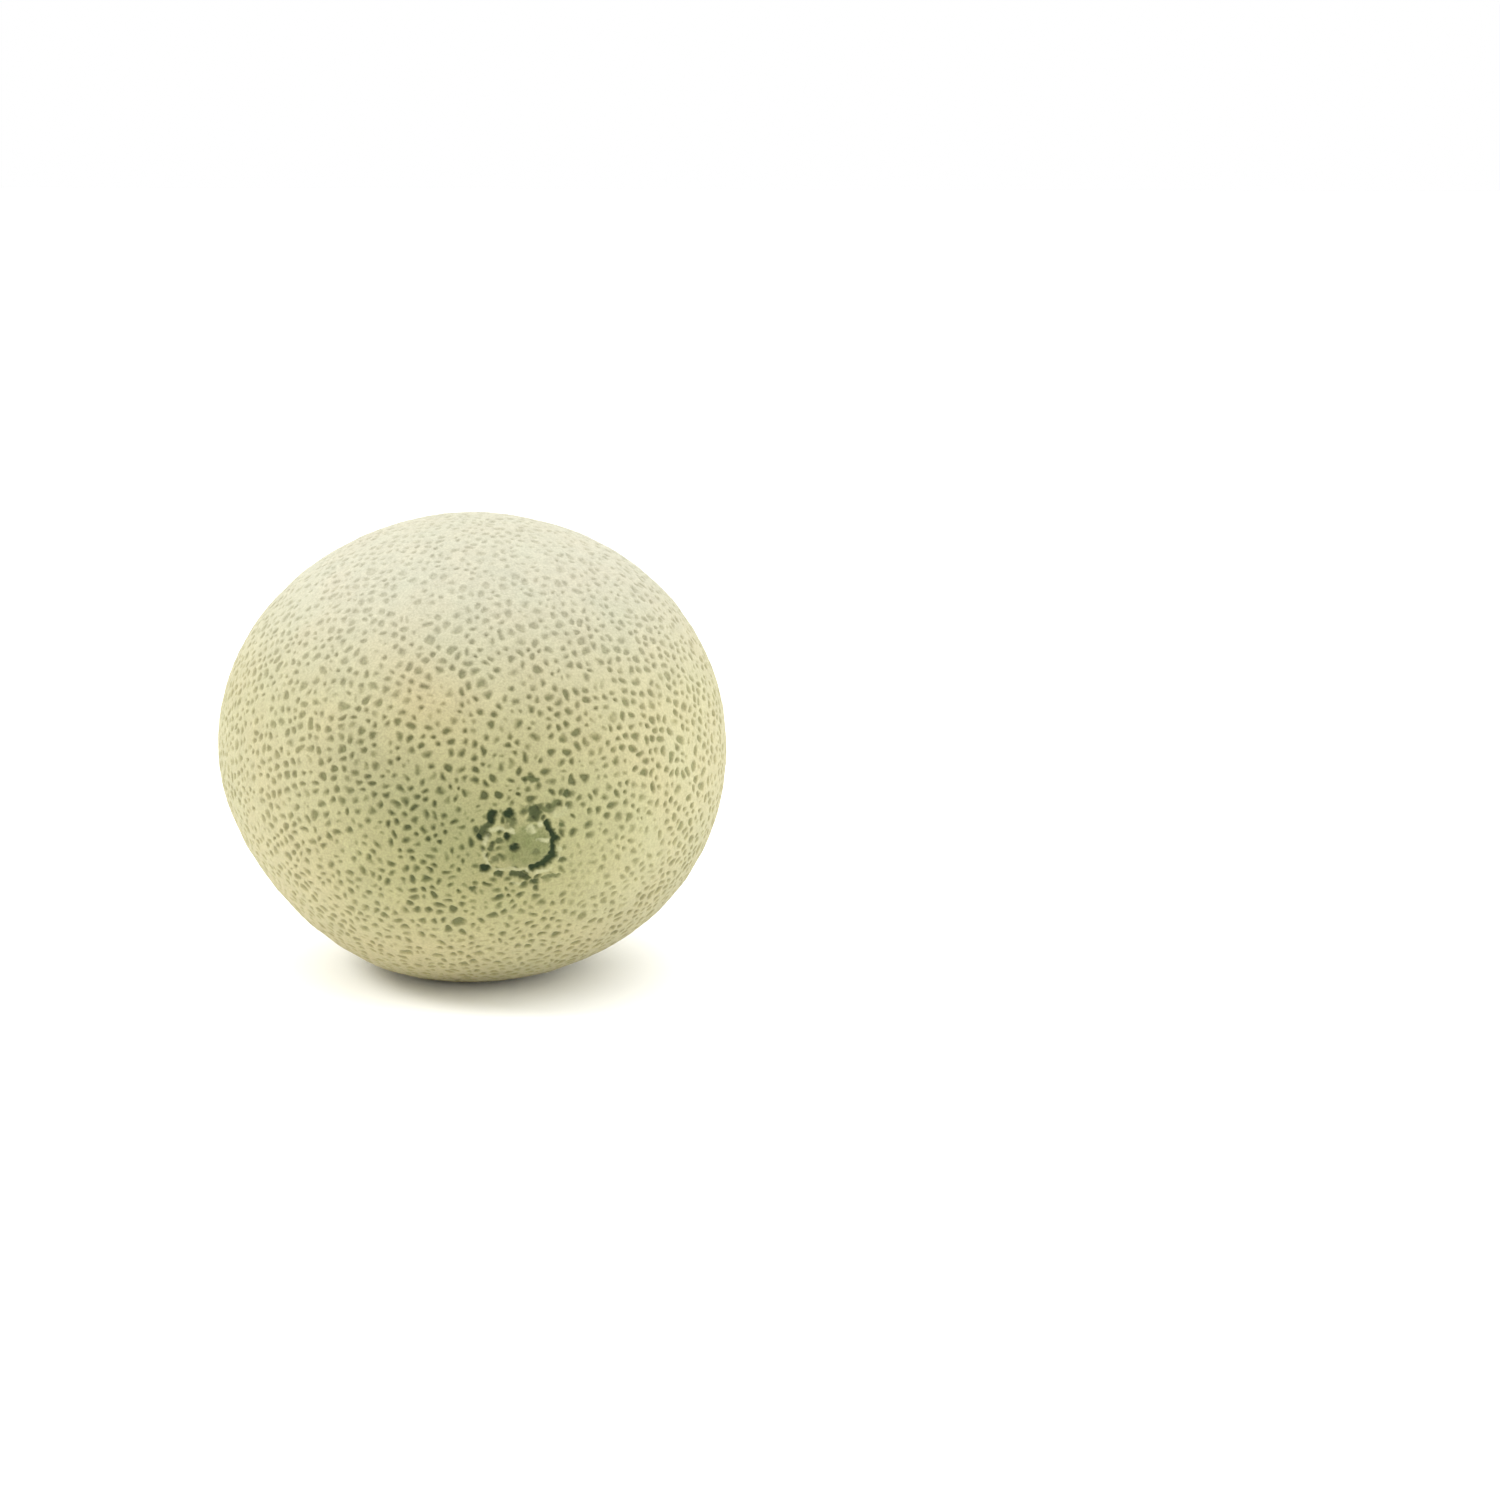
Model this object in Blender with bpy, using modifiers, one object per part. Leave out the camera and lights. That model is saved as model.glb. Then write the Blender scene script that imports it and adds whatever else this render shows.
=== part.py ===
"""A whole netted cantaloupe melon, lying on its side on a small flat spot.

The fruit's axis runs from the blossom end, which faces -Y and dips a little, to the stem end, which
faces +Y. The origin is on the surface that the fruit lies on, below the middle of the fruit. Metres, +Z up.
"""

import math

import bmesh
import bpy
from mathutils import Matrix, Vector

MM = 0.001

# The body, as three diameters of a rounded ellipsoid before its lumps are added.
WIDTH = 145.5 * MM
HEIGHT = 132.2 * MM
LENGTH = 149 * MM
BLUNTNESS = 2.08  # 2 is an ellipsoid; more makes the ends blunter

# How the fruit lies: the blossom end dips, and the skin meets the table in a small flat spot.
DIP = math.radians(9)
FLAT_SPOT_DIAMETER = 34 * MM
FLATNESS = 0.001 * MM

# The low wide lumps of a fruit that grew: where each sits, how far it swells the skin, and how far it
# reaches over the skin. A direction is (right, towards the stem, up), before the blossom end dips.
LUMPS = [
    ("ground_side", Vector((-0.82, -0.25, -0.52)), -1.4 * MM, math.radians(34)),
    ("lower_cheek", Vector((-0.45, -0.10, -0.88)), 1.1 * MM, math.radians(44)),
    ("crown", Vector((-0.60, 0.10, 0.80)), -1.0 * MM, math.radians(50)),
    ("right_shoulder", Vector((0.75, 0.05, 0.62)), 1.1 * MM, math.radians(44)),
    ("right_underside", Vector((0.75, 0.05, -0.66)), 1.2 * MM, math.radians(48)),
    ("stem_shoulder", Vector((0.30, 0.92, 0.25)), 1.0 * MM, math.radians(60)),
]

# The blossom end: a round corky button with a groove round it.
BUTTON_DIAMETER = 22 * MM
BUTTON_CROWN = 0.5 * MM
GROOVE_WIDTH = 2.4 * MM
GROOVE_DEPTH = 0.9 * MM

# The stem end: a shallow hollow, and in it the clean dish that the stem slipped from, with a rim.
HOLLOW_DIAMETER = 56 * MM
HOLLOW_DEPTH = 1.6 * MM
DISH_DIAMETER = 19 * MM
DISH_DEPTH = 1.5 * MM
RIM_WIDTH = 3.2 * MM
RIM_HEIGHT = 0.7 * MM

# How finely the skin is faceted.
TURN_STEPS = 80
BODY_STEP = math.radians(4.2)
END_STEP = 1.2 * MM
END_REACH = 15 * MM

RIND_COLOUR = (0.52, 0.48, 0.27, 1.0)
RIND_ROUGHNESS = 0.62


def smooth_hill(distance, reach):
    """1 at distance 0, falling smoothly to 0 at the reach."""
    share = min(abs(distance) / reach, 1.0)
    return (1.0 - share * share) ** 2


def smooth_step(distance, start, end):
    """0 before start, 1 after end, smooth between."""
    share = min(max((distance - start) / (end - start), 0.0), 1.0)
    return share * share * (3.0 - 2.0 * share)


def blossom_relief(from_pole):
    """Height of the skin above the plain body, at this distance along the skin from the blossom pole."""
    button_radius = BUTTON_DIAMETER / 2
    crown = BUTTON_CROWN * smooth_hill(from_pole, button_radius)
    groove = GROOVE_DEPTH * smooth_hill(from_pole - button_radius, GROOVE_WIDTH)
    return crown - groove


def stem_relief(from_pole):
    """The same at the stem pole."""
    dish_radius = DISH_DIAMETER / 2
    hollow = HOLLOW_DEPTH * smooth_hill(from_pole, HOLLOW_DIAMETER / 2)
    dish = DISH_DEPTH * (1.0 - smooth_step(from_pole, 0.55 * dish_radius, dish_radius))
    rim = RIM_HEIGHT * smooth_hill(from_pole - dish_radius - RIM_WIDTH / 2, RIM_WIDTH)
    return rim - hollow - dish


def profile_angles():
    """Angles from the stem pole to the blossom pole: close together over both ends, even between."""
    radius = LENGTH / 2
    end_angle = END_REACH / radius
    end_count = max(2, math.ceil(END_REACH / END_STEP))
    body_count = max(2, math.ceil((math.pi - 2 * end_angle) / BODY_STEP))
    stem_end = [end_angle * i / end_count for i in range(end_count)]
    body = [end_angle + (math.pi - 2 * end_angle) * i / body_count for i in range(body_count)]
    blossom_end = [math.pi - angle for angle in reversed(stem_end)]
    return stem_end + body + [math.pi - end_angle] + blossom_end


def profile_points():
    """The turned outline as (distance from the axis, height along it), for a body of equal width and height."""
    points = []
    half_width = WIDTH / 2
    half_length = LENGTH / 2
    for angle in profile_angles():
        across = (abs(math.sin(angle)) / half_width) ** BLUNTNESS
        along = (abs(math.cos(angle)) / half_length) ** BLUNTNESS
        radius = (across + along) ** (-1 / BLUNTNESS)
        radius += stem_relief(angle * half_length)
        radius += blossom_relief((math.pi - angle) * half_length)
        points.append((max(radius * math.sin(angle), 0.0), radius * math.cos(angle)))
    points[0] = (0.0, points[0][1])
    points[-1] = (0.0, points[-1][1])
    return points


def turned_body(collection):
    """The outline turned about the fruit's axis, as a plain mesh with that axis along Z."""
    outline = bpy.data.meshes.new("melon_outline")
    vertices = [(across, 0.0, along) for across, along in profile_points()]
    edges = [(i, i + 1) for i in range(len(vertices) - 1)]
    outline.from_pydata(vertices, edges, [])
    guide = bpy.data.objects.new("melon_outline", outline)
    collection.objects.link(guide)
    screw = guide.modifiers.new("Turn", "SCREW")
    screw.axis = "Z"
    screw.steps = TURN_STEPS
    screw.render_steps = TURN_STEPS
    screw.use_merge_vertices = True
    screw.merge_threshold = 0.00005
    bpy.context.view_layer.update()
    graph = bpy.context.evaluated_depsgraph_get()
    mesh = bpy.data.meshes.new_from_object(guide.evaluated_get(graph))
    mesh.name = "melon"
    bpy.data.objects.remove(guide)
    return mesh


def press_and_swell(point):
    """A point of the round body, moved to the height of the fruit and out over its lumps."""
    pressed = Vector((point.x, point.y, point.z * HEIGHT / WIDTH))
    direction = pressed.normalized()
    swell = 0.0
    for _, towards, amount, reach in LUMPS:
        swell += amount * smooth_hill(direction.angle(towards), reach)
    return pressed + direction * swell


def lay_down(mesh):
    """Turns the stem end to +Y, shapes the fruit, dips its blossom end, and sinks its flat spot to z 0."""
    stem_to_back = Matrix.Rotation(math.radians(-90), 3, "X")
    blossom_down = Matrix.Rotation(DIP, 3, "X")
    body = bmesh.new()
    body.from_mesh(mesh)
    for vertex in body.verts:
        vertex.co = blossom_down @ press_and_swell(stem_to_back @ vertex.co)
    low = Vector([min(vertex.co[axis] for vertex in body.verts) for axis in range(3)])
    high = Vector([max(vertex.co[axis] for vertex in body.verts) for axis in range(3)])
    under_radius = WIDTH / 2
    sink = under_radius - math.sqrt(under_radius**2 - (FLAT_SPOT_DIAMETER / 2) ** 2)
    middle = (low + high) / 2
    for vertex in body.verts:
        vertex.co -= Vector((middle.x, middle.y, low.z + sink))
    body.to_mesh(mesh)
    body.free()


def table_cutter(collection):
    """A block with its top at z 0, which trims the fruit to its flat spot."""
    side = 2 * max(WIDTH, LENGTH)
    bpy.ops.mesh.primitive_cube_add(size=side, location=(0, 0, -side / 2))
    cutter = bpy.context.active_object
    cutter.name = "table_cutter"
    cutter.display_type = "WIRE"
    cutter.hide_render = True
    for other in list(cutter.users_collection):
        other.objects.unlink(cutter)
    collection.objects.link(cutter)
    return cutter


def trim_flat_spot(melon, cutter):
    """Cuts the fruit at the table, and creases the rim of the flat spot, so that the spot shades flat."""
    trim = melon.modifiers.new("Flat spot", "BOOLEAN")
    trim.operation = "DIFFERENCE"
    trim.solver = "EXACT"
    trim.object = cutter
    bpy.context.view_layer.update()
    graph = bpy.context.evaluated_depsgraph_get()
    trimmed = bpy.data.meshes.new_from_object(melon.evaluated_get(graph))
    melon.modifiers.clear()
    melon.data = trimmed
    body = bmesh.new()
    body.from_mesh(trimmed)
    for edge in body.edges:
        on_table = [max(abs(vertex.co.z) for vertex in face.verts) < FLATNESS for face in edge.link_faces]
        edge.smooth = all(on_table) or not any(on_table)
    body.to_mesh(trimmed)
    body.free()
    trimmed.name = "melon"


def rind_material():
    material = bpy.data.materials.new("rind")
    material.use_nodes = True
    shader = material.node_tree.nodes["Principled BSDF"]
    shader.inputs["Base Color"].default_value = RIND_COLOUR
    shader.inputs["Roughness"].default_value = RIND_ROUGHNESS
    shader.inputs["Metallic"].default_value = 0.0
    return material


def new_collection(name):
    collection = bpy.data.collections.new(name)
    bpy.context.scene.collection.children.link(collection)
    return collection


def main():
    for obj in list(bpy.data.objects):
        bpy.data.objects.remove(obj)
    fruit = new_collection("cantaloupe_melon")
    cutters = new_collection("cutters")
    mesh = turned_body(fruit)
    lay_down(mesh)
    mesh.materials.append(rind_material())
    mesh.shade_smooth()
    melon = bpy.data.objects.new("melon", mesh)
    fruit.objects.link(melon)
    trim_flat_spot(melon, table_cutter(cutters))


main()
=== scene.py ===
"""A whole netted cantaloupe melon, lying on its side on a pale floor.

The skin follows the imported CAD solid: the solid's box sets its size, and its shape is worked out as the
CAD's is. On it stands the corky net of a ripe fruit, raised cords between small open pits where the green
skin shows. The skin is worked out in millimetres, and MM turns them into the scene's metres.
"""

import math

import bpy
import numpy as np
from mathutils import Matrix, Vector
from mathutils.kdtree import KDTree


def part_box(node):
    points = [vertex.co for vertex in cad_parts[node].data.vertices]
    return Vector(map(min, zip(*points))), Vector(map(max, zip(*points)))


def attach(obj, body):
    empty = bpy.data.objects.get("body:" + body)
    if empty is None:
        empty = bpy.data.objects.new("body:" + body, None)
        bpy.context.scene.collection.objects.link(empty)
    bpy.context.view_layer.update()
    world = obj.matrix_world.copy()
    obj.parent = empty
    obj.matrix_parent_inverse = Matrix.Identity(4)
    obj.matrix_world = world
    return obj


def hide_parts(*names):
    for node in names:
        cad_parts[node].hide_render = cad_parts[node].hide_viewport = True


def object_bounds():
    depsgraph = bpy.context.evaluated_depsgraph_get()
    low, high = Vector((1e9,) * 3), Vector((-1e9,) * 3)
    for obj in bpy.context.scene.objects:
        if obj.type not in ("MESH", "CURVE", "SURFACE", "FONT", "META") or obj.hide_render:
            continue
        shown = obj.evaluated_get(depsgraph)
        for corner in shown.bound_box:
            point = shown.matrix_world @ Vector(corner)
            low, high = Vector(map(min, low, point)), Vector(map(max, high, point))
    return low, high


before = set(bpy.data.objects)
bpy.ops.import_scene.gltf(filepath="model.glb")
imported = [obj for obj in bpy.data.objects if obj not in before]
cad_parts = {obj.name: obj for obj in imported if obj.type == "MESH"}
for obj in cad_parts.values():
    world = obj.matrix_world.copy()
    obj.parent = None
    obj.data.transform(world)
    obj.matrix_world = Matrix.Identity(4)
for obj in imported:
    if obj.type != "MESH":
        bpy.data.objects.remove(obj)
CAD_LOW, CAD_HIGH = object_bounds()

MM = 0.001
GRID = 400  # faces along each side of the cube that the skin is laid out on
ISLAND_MARGIN = 0.006  # bare edge of each side's place in the UV map, as a share of that place
RIPPLE_WAVES = 28  # waves that add up to one field of noise,
WAVELENGTH_SPREAD = (0.7, 1.5)  # and how their lengths spread round the one asked for

# ---------------------------------------------------------------- the smooth fruit, shaped as in the CAD
BLUNTNESS = 2.08
DIP = math.radians(9)
HEIGHT_TO_WIDTH = 132.2 / 145.5
FLAT_SPOT_DIAMETER = 34.0

# Low wide lumps: (right, towards the stem, up), swell in mm, and reach over the skin.
LUMPS = [
    ("ground_side", (-0.82, -0.25, -0.52), -1.4, math.radians(34)),
    ("lower_cheek", (-0.45, -0.10, -0.88), 1.1, math.radians(44)),
    ("crown", (-0.60, 0.10, 0.80), -1.0, math.radians(50)),
    ("right_shoulder", (0.75, 0.05, 0.62), 1.1, math.radians(44)),
    ("right_underside", (0.75, 0.05, -0.66), 1.2, math.radians(48)),
    ("stem_shoulder", (0.30, 0.92, 0.25), 1.0, math.radians(60)),
]

BUTTON_RADIUS = 11.0
BUTTON_CROWN = 0.5
HOLLOW_RADIUS = 28.0
HOLLOW_DEPTH = 1.6
DISH_RADIUS = 9.5
DISH_DEPTH = 1.5
DISH_FLOOR = 0.55  # the dish is flat out to this share of its radius
RIM_WIDTH = 3.2
RIM_HEIGHT = 0.7
TRIAL_POINTS = 60000  # directions tried to find the box of the fruit before it is fitted to the CAD's

# ---------------------------------------------------------------- the net
GOLDEN_ANGLE = math.pi * (3 - math.sqrt(5))
EVEN_SHARE = 0.866  # skin around each point of an even pattern, as a share of its spacing squared
CELL_SPACING = 3.35  # from the middle of one pit to the next
CELL_JITTER = 0.32  # how far a pit strays from an even pattern, as a share of the spacing
MISSING_CELLS = 0.03
CROWDING = 0.08  # pits sit closer together by this share at the blossom end
CROWDED_REACH = 1.0  # radians from the blossom pole
NEIGHBOURS = 8
CORNER_SHARPNESS = 3.0  # per mm: less makes rounder pits
ROUNDNESS = 1.3  # a pit reaches this far from its middle, as a share of half the way to the next pit
MAIN_SPACING = 9.0  # the main cords, which the first cracks left, are about this far apart
MAIN_JITTER = 0.8
MAIN_EXTRA = 0.24  # and this much wider to each side
CORD_REACH = 0.66  # from the crest of a cord to the foot of its flank
OWN_REACH = 0.09  # how far the reach differs from one pit to the next (standard deviation)
DEEPEST = 1.3  # how deep a point is sunk is 0 on a crest and 1 at the foot of a flank, and stops here

# More reach in the patches and scars, in mm, which narrows the pits there or closes them.
FINE_REACH = 0.03
GROUND_REACH = 0.06
CALM_REACH = 0.15
PLAIN_REACH = 0.7
DISH_REACH = 2.0
COLLAR_REACH = 0.6

# What bends the cells, so that no pit is a plain polygon: strength and wavelength in mm, a seed per axis.
CELL_BEND = [(0.55, 8.0, (11, 12, 13)), (0.20, 2.8, (14, 15, 16))]

# Layers of noise: each is (strength, wavelength in mm, seed).
REACH_NOISE = [(0.07, 24.0, 31), (0.04, 5.0, 32)]
SCAR_STRAY_X = [(0.30, 3.0, 34), (0.15, 1.1, 36)]
SCAR_STRAY_Y = [(0.30, 3.0, 35), (0.15, 1.1, 37)]
STEM_STRAY = [(0.35, 4.5, 63), (0.15, 1.5, 64)]
SKIN_NOISE = [(0.10, 9.0, 51), (0.03, 1.7, 52)]
DISH_NOISE = [(0.07, 1.6, 53), (0.05, 0.9, 54)]

# What breaks a mark up: its mean strength, how far that swings, the wavelength in mm, and a seed.
THREAD_BREAKS = (0.65, 0.45, 2.4, 38)
CRACK_BREAKS = (0.3, 1.0, 3.5, 65)
CREASE_BREAKS = (0.8, 0.5, 6.0, 62)

# ---------------------------------------------------------------- patches of tone, and of painted light and shade
# Patches by how far up the skin faces, from 0 for level to 1 for straight up. The pale top is partly a
# paler net and partly painted light from above.
PALE_FACING = (0.20, 0.85)
FINE_FACING = (0.35, 1.0)
PALE_AT_STEM = 0.4  # what is left of the pale top near the stem end
PALE_FROM_STEM = (40.0, 105.0)  # mm: where it comes back to full

# The sides, which are away from both poles, by how far the skin is from each in mm. Their cooler, flatter
# tones are painted glare.
FRONT_REACH = 105.0
SIDE_FROM_STEM = (30.0, 90.0)

# Patches round a direction from the middle of the fruit, (right, back, up), and their reach in radians.
# the ground spot: paler skin where the fruit lay, and painted light bounced up from the floor
GROUND_PATCH = ((-0.42, -0.30, -0.86), 1.25)
BLUSH_PATCH = ((-0.34, -0.87, 0.36), 0.27)
# painted light on the right side of the fruit
RIGHT_LIGHT_PATCH = ((0.66, -0.74, 0.07), 0.75)

# Patches round a place or a route, in mm right of and above the blossom pole, and their reach in mm.
# The green patch round the blossom end is greener skin, and its darkness is partly painted shade.
GREEN_PLACE = (-10.0, -2.0)
GREEN_REACH = 50.0
GREEN_STRETCH = 1.35  # the green patch is this much wider than high
# painted shade: a darker streak left of and below the blossom pole
PAINTED_SHADE_PATCH = ([(-44.0, 23.0), (-10.0, -5.0)], 20.0)
CALM_PATCH = ([(31.0, -15.0)], 30.0)
BESIDE_PATCH = ([(18.0, -14.0)], 11.0)
BESIDE_SHARE = 0.8  # beside the scar the skin is this nearly plain

# How far the net's tones flatten: each share is taken off the depth that the material reads.
# flatter net tones on top: painted light from above washing them out
TOP_LIGHT_FADE = 0.42
# flatter net tones on the sides: painted glare
SIDE_GLARE_FADE = 0.50
CALM_FADE = 0.5

# ---------------------------------------------------------------- the scars
# The blossom scar, in mm right of and above the blossom pole as seen from outside. Each mark is a route, or
# one point, with half its width and how strong it is.
SCAR_GROOVES = [
    ([(-10.5, 2.2), (-9.3, 4.7), (-8.2, 6.8)], 1.1, 0.75),
    ([(-10.6, 2.1)], 1.1, 1.0),
    ([(-8.1, 7.5), (-7.3, 9.2)], 1.4, 1.0),
    ([(-3.0, 9.4)], 1.5, 1.0),
    ([(-2.4, 8.6), (-2.6, 6.8)], 1.5, 0.5),
    ([(4.0, 10.3), (4.4, 9.0)], 1.8, 0.8),
    ([(6.6, 10.6), (8.2, 10.1), (10.0, 12.2)], 1.3, 0.5),
    ([(7.6, 5.6), (9.0, 3.4), (9.6, 0.5), (9.4, -2.3), (9.5, -5.1)], 1.0, 1.0),
    ([(10.5, 0.8)], 1.0, 1.0),
    ([(9.4, -5.0), (8.1, -6.5)], 1.5, 1.0),
    ([(8.1, -6.7), (6.0, -8.0), (4.0, -8.5)], 1.15, 1.0),
    ([(-9.0, -8.1)], 1.3, 1.0),
    ([(-5.8, -10.2), (-4.6, -10.3)], 0.9, 0.75),
    ([(-1.6, -10.2), (0.4, -10.6), (2.6, -11.8)], 0.9, 0.75),
    ([(4.6, -13.4)], 1.1, 0.8),
    ([(-3.2, 2.3)], 1.05, 1.0),
    ([(-5.6, 0.9)], 1.1, 0.6),
    ([(-7.6, -1.5)], 0.95, 0.6),
    ([(-1.3, -1.4)], 1.3, 1.0),
    ([(-6.4, -5.2)], 1.0, 0.45),
    ([(4.4, -3.2)], 1.1, 0.4),
    ([(7.4, -12.3), (11.6, -11.6)], 0.7, 0.45),
    ([(12.1, 4.9)], 1.0, 0.6),
    ([(13.1, 14.3)], 1.1, 0.7),
    ([(12.4, -6.6)], 1.0, 0.5),
    ([(-12.1, -15.3)], 1.0, 0.65),
    ([(-4.4, -18.5)], 1.1, 0.65),
    ([(1.6, 19.5), (4.5, 19.2)], 1.0, 0.55),
]
SCAR_THREADS = [
    ([(3.0, 4.2), (5.4, 5.6)], 1.4, 1.0),
    ([(5.8, 0.5), (7.4, 0.3)], 0.8, 0.8),
    ([(-7.9, 4.4), (-5.4, 4.9), (-1.6, 3.9)], 0.65, 0.9),
    ([(-8.8, 3.0), (-9.7, -1.0), (-9.2, -5.8), (-7.6, -8.0)], 0.7, 0.9),
    ([(-6.2, -8.3), (-3.0, -8.7), (1.8, -8.6), (4.2, -10.4), (8.6, -9.4)], 0.65, 0.9),
    ([(11.4, -2.8), (11.2, -5.8)], 0.7, 0.8),
    ([(-7.4, -10.6), (-8.8, -10.0)], 0.8, 0.8),
    ([(-1.0, -12.9), (1.6, -13.8)], 0.8, 0.7),
    ([(9.2, 8.2), (12.0, 9.2)], 1.5, 0.5),
]
MARK_CORE = 0.5  # a mark is full out to this share of half its width,
MARK_EDGE = 1.4  # and gone at this one
PLAIN_PLACE = (2.5, -1.0)  # round this place inside the blossom scar the net is nearly missing
PLAIN_CORE = 4.5  # the skin is plain out to this radius,
PLAIN_RADIUS = 9.0  # and netted again from this one on

# The stem scar: a crease inside its rim, fine cracks outwards from the middle, and a ring of sap dots.
DISH_EDGE = (DISH_RADIUS - 1.2, DISH_RADIUS + 0.2)  # where the dish's bare cork gives way to skin
COLLAR_WIDTH = 3.0
CREASE_RADIUS = 8.4
CREASE_WIDTH = 1.2
CRACKS = 17
CRACK_WANDER = (2.6, 5.0, 61)  # radians of their pattern either way, wavelength in mm, seed
CRACK_TWIST = 0.3  # radians of their pattern for each mm outwards
CRACK_START = (1.5, 5.0)  # mm from the middle
SAP_MIDDLE = (0.5, -0.3)  # mm right of and above the stem pole, as seen from the blossom end
SAP_MIDDLE_RADIUS = 1.8
SAP_MIDDLE_SHARE = 0.6
SAP_DOTS = 9
SAP_DOT_RADIUS = 0.9
SAP_RING_RADIUS = 4.4
SAP_OUT = 0.9  # how far a dot is in or out of the ring,
SAP_TURN = 0.35  # and how far round from an even place, in radians
CRACK_DARKNESS = 0.8  # a crack is as dark as this share of the crease

# ---------------------------------------------------------------- relief, in mm
CORD_HEIGHT = 0.58
PLAIN_LOSS = 0.75  # these shares of it are lost where the skin is plain, on the ground side and on top
GROUND_LOSS = 0.30
FINE_LOSS = 0.15
THREAD_HEIGHT = 0.28
GROOVE_CUT = 0.75
CRACK_CUT = 0.40
CREASE_CUT = 0.55
SAP_CUT = 0.35
COLLAR_HEIGHT = 0.20
PIT_SINK = 0.34  # the bottom of a pit lies this far under the CAD's skin, and the cords stand out of it


def smooth_hill(distance, reach):
    """1 at distance 0, falling smoothly to 0 at the reach."""
    share = np.minimum(np.abs(distance) / reach, 1.0)
    return (1.0 - share * share) ** 2


def smooth_step(value, start, end):
    """0 before start, 1 after end, smooth between."""
    share = np.clip((value - start) / (end - start), 0.0, 1.0)
    return share * share * (3.0 - 2.0 * share)


def unit(vectors):
    return vectors / np.linalg.norm(vectors, axis=-1, keepdims=True)


def angle_from(directions, towards):
    return np.arccos(np.clip(directions @ unit(np.array(towards)), -1, 1))


def ripple(points, wavelength, seed):
    """A smooth random field over points in mm, mostly from -1 to 1, with bumps of about this wavelength."""
    chance = np.random.default_rng(seed)
    directions = unit(chance.normal(size=(RIPPLE_WAVES, 3)))
    lengths = wavelength * chance.uniform(*WAVELENGTH_SPREAD, RIPPLE_WAVES)
    phases = chance.uniform(0, 2 * math.pi, RIPPLE_WAVES)
    total = np.zeros(len(points))
    for direction, length, phase in zip(directions, lengths, phases):
        total += np.cos(points @ direction * (2 * math.pi / length) + phase)
    return total * math.sqrt(1.0 / RIPPLE_WAVES)


def noise_layers(points, layers):
    return sum(strength * ripple(points, wavelength, seed) for strength, wavelength, seed in layers)


def breaks(points, mean, swing, wavelength, seed):
    """A share that comes and goes over the skin, from 0 where a mark is broken to 1 where it is whole."""
    return np.clip(mean + swing * ripple(points, wavelength, seed), 0, 1)


def from_route(x, y, route):
    """Distance of each point of a plane from a route of straight stretches, or from its one point."""
    nearest_so_far = np.hypot(x - route[0][0], y - route[0][1])
    for (start_x, start_y), (end_x, end_y) in zip(route, route[1:]):
        run_x = end_x - start_x
        run_y = end_y - start_y
        share = np.clip(((x - start_x) * run_x + (y - start_y) * run_y) / (run_x**2 + run_y**2), 0, 1)
        away = np.hypot(x - start_x - share * run_x, y - start_y - share * run_y)
        nearest_so_far = np.minimum(nearest_so_far, away)
    return nearest_so_far


def marked(x, y, marks):
    """How strongly each point of a plane is marked: full along a mark's middle, and fading at its edges."""
    strength = np.zeros(len(x))
    for route, half_width, most in marks:
        fade = smooth_step(from_route(x, y, route), MARK_CORE * half_width, MARK_EDGE * half_width)
        strength = np.maximum(strength, most * (1.0 - fade))
    return strength


# ---------------------------------------------------------------- shape
def blossom_crown(from_pole):
    """Height of the button above the plain body. Its groove is left to the marks of the scar."""
    return BUTTON_CROWN * smooth_hill(from_pole, BUTTON_RADIUS)


def stem_relief(from_pole):
    hollow = HOLLOW_DEPTH * smooth_hill(from_pole, HOLLOW_RADIUS)
    dish = DISH_DEPTH * (1.0 - smooth_step(from_pole, DISH_FLOOR * DISH_RADIUS, DISH_RADIUS))
    rim = RIM_HEIGHT * smooth_hill(from_pole - DISH_RADIUS - RIM_WIDTH / 2, RIM_WIDTH)
    return rim - hollow - dish


class Fruit:
    """The smooth skin, in mm, placed as the CAD solid is."""

    def __init__(self, low, high):
        self.low = np.array(low) / MM
        self.high = np.array(high) / MM
        self.width, self.length, _ = self.high - self.low
        under = self.width / 2
        sink = under - math.sqrt(under**2 - (FLAT_SPOT_DIAMETER / 2) ** 2)
        self.dip = np.array(Matrix.Rotation(DIP, 3, "X"))
        whole = self.laid_down(unit(np.random.default_rng(seed=1).normal(size=(TRIAL_POINTS, 3))))
        body_low = whole.min(axis=0)
        body_high = whole.max(axis=0)
        target_low = self.low - (0, 0, sink)
        self.stretch = (self.high - target_low) / (body_high - body_low)
        self.shift = target_low - body_low * self.stretch

    def laid_down(self, directions):
        """The skin in each direction from the middle of the fruit, whose blossom end has dipped."""
        half_length = self.length / 2
        along = directions[:, 1]
        across = np.hypot(directions[:, 0], directions[:, 2])
        from_stem = np.arctan2(across, along)
        blunt = (across / (self.width / 2)) ** BLUNTNESS + (np.abs(along) / half_length) ** BLUNTNESS
        radius = blunt ** (-1 / BLUNTNESS)
        radius += stem_relief(from_stem * half_length)
        radius += blossom_crown((math.pi - from_stem) * half_length)
        points = directions * radius[:, None]
        points[:, 2] *= HEIGHT_TO_WIDTH
        outward = unit(points)
        for _, towards, swell, reach in LUMPS:
            points += outward * (swell * smooth_hill(angle_from(outward, towards), reach))[:, None]
        return points @ self.dip.T

    def skin(self, directions):
        return self.laid_down(directions) * self.stretch + self.shift


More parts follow.
